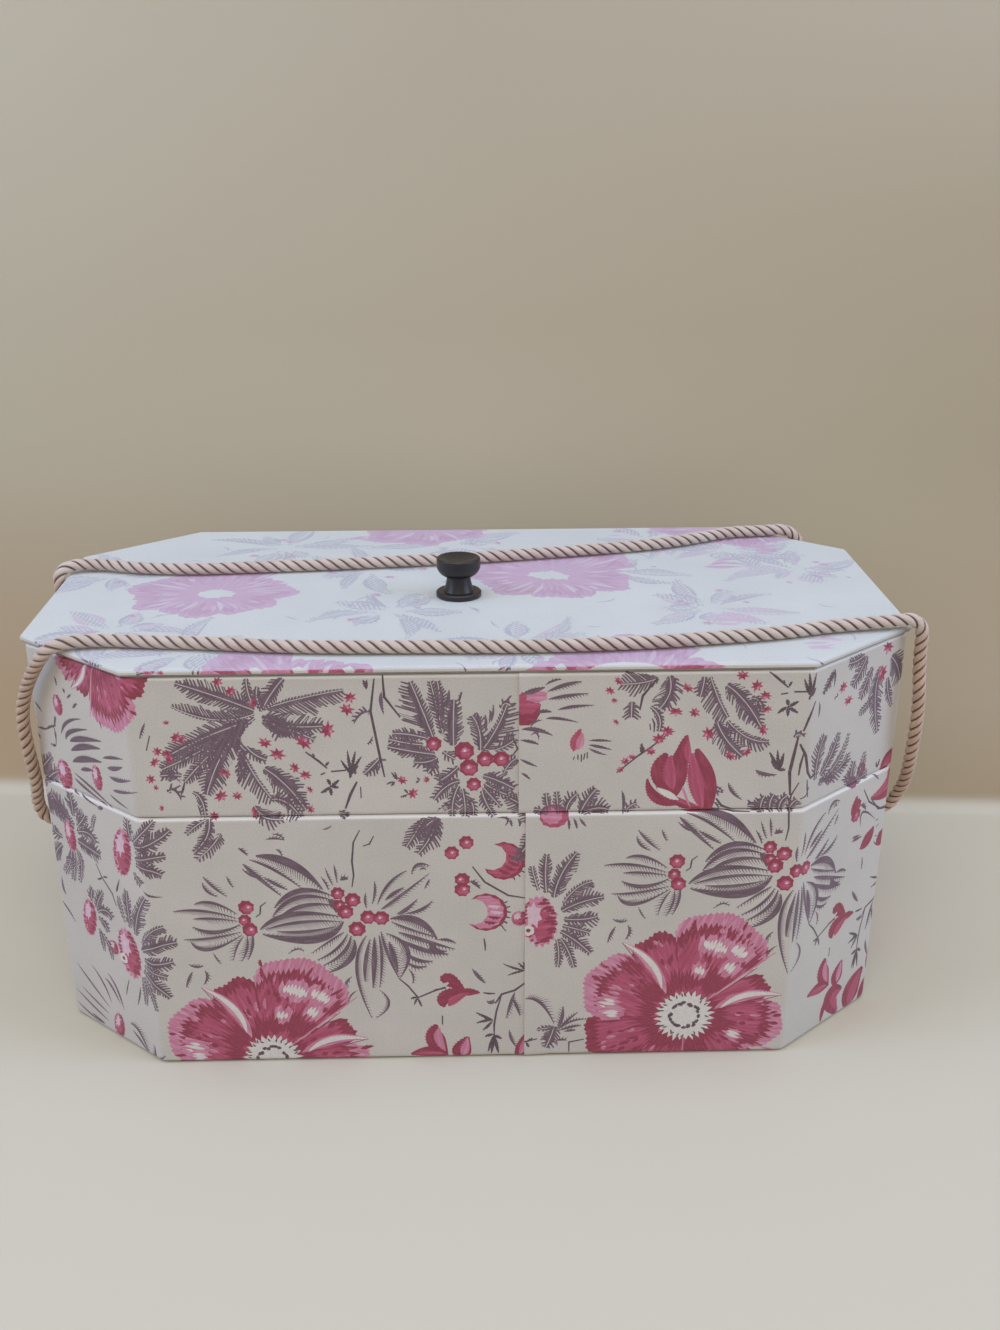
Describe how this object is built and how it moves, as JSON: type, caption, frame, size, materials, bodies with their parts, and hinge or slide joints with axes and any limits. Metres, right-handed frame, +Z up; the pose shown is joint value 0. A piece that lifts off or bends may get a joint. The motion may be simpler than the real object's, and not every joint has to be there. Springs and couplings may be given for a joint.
{
  "type": "sewing case",
  "caption": "Cloth-covered two-tier board box with eight sides, a lift-out tray, a lift-off lid with a turned knob, and twisted cords tied over it.",
  "frame": {"origin": "centre of the underside, on the surface that the box stands on", "axes": "+X along the box's length, +Y towards the back, +Z up"},
  "size_m": [0.4162, 0.217, 0.2168],
  "materials": {
    "printed_cotton": "woven cotton with a floral print",
    "lining_cotton": "plain weave",
    "grey_board": "uncoated pressed board",
    "covered_board": "board with cloth pasted on",
    "underside_paper": "matt kraft paper",
    "twisted_cord": "three-strand twist",
    "knob_wood": "dark satin stain",
    "screw_steel": "zinc plated"
  },
  "bodies": {
    "base": {"base_underside_paper": "underside_paper", "base_printed_cover": "printed_cotton", "base_bottom_board": "grey_board", "base_front_wall": "grey_board", "base_front_right_wall": "grey_board", "base_right_end_wall": "grey_board", "base_back_right_wall": "grey_board", "base_back_wall": "grey_board", "base_back_left_wall": "grey_board", "base_left_end_wall": "grey_board", "base_front_left_wall": "grey_board", "base_wall_lining": "lining_cotton", "base_floor_lining": "lining_cotton", "front_cord": "twisted_cord", "back_cord": "twisted_cord", "front_cord_left_knot": "twisted_cord", "front_cord_right_knot": "twisted_cord", "back_cord_left_knot": "twisted_cord", "back_cord_right_knot": "twisted_cord"},
    "tray": {"tray_printed_cover": "printed_cotton", "tray_bottom_board": "grey_board", "tray_locating_board": "covered_board", "tray_front_wall": "grey_board", "tray_front_right_wall": "grey_board", "tray_right_end_wall": "grey_board", "tray_back_right_wall": "grey_board", "tray_back_wall": "grey_board", "tray_back_left_wall": "grey_board", "tray_left_end_wall": "grey_board", "tray_front_left_wall": "grey_board", "tray_wall_lining": "lining_cotton", "tray_floor_lining": "lining_cotton", "tray_long_divider": "covered_board", "tray_left_cross_divider": "covered_board", "tray_right_cross_divider": "covered_board"},
    "lid": {"lid_printed_cover": "printed_cotton", "lid_board": "grey_board", "lid_lining": "lining_cotton", "lid_locating_board": "covered_board", "knob": "knob_wood", "knob_washer": "screw_steel", "knob_screw": "screw_steel"}
  },
  "joints": [
    {"name": "tray_lift", "type": "slide", "parent": "base", "child": "tray", "axis": [0, 0, 1], "range_m": [0, 0.12], "deforming": ["front_cord", "back_cord"]},
    {"name": "lid_lift", "type": "slide", "parent": "tray", "child": "lid", "axis": [0, 0, 1], "range_m": [0, 0.12], "deforming": ["front_cord", "back_cord"]}
  ]
}
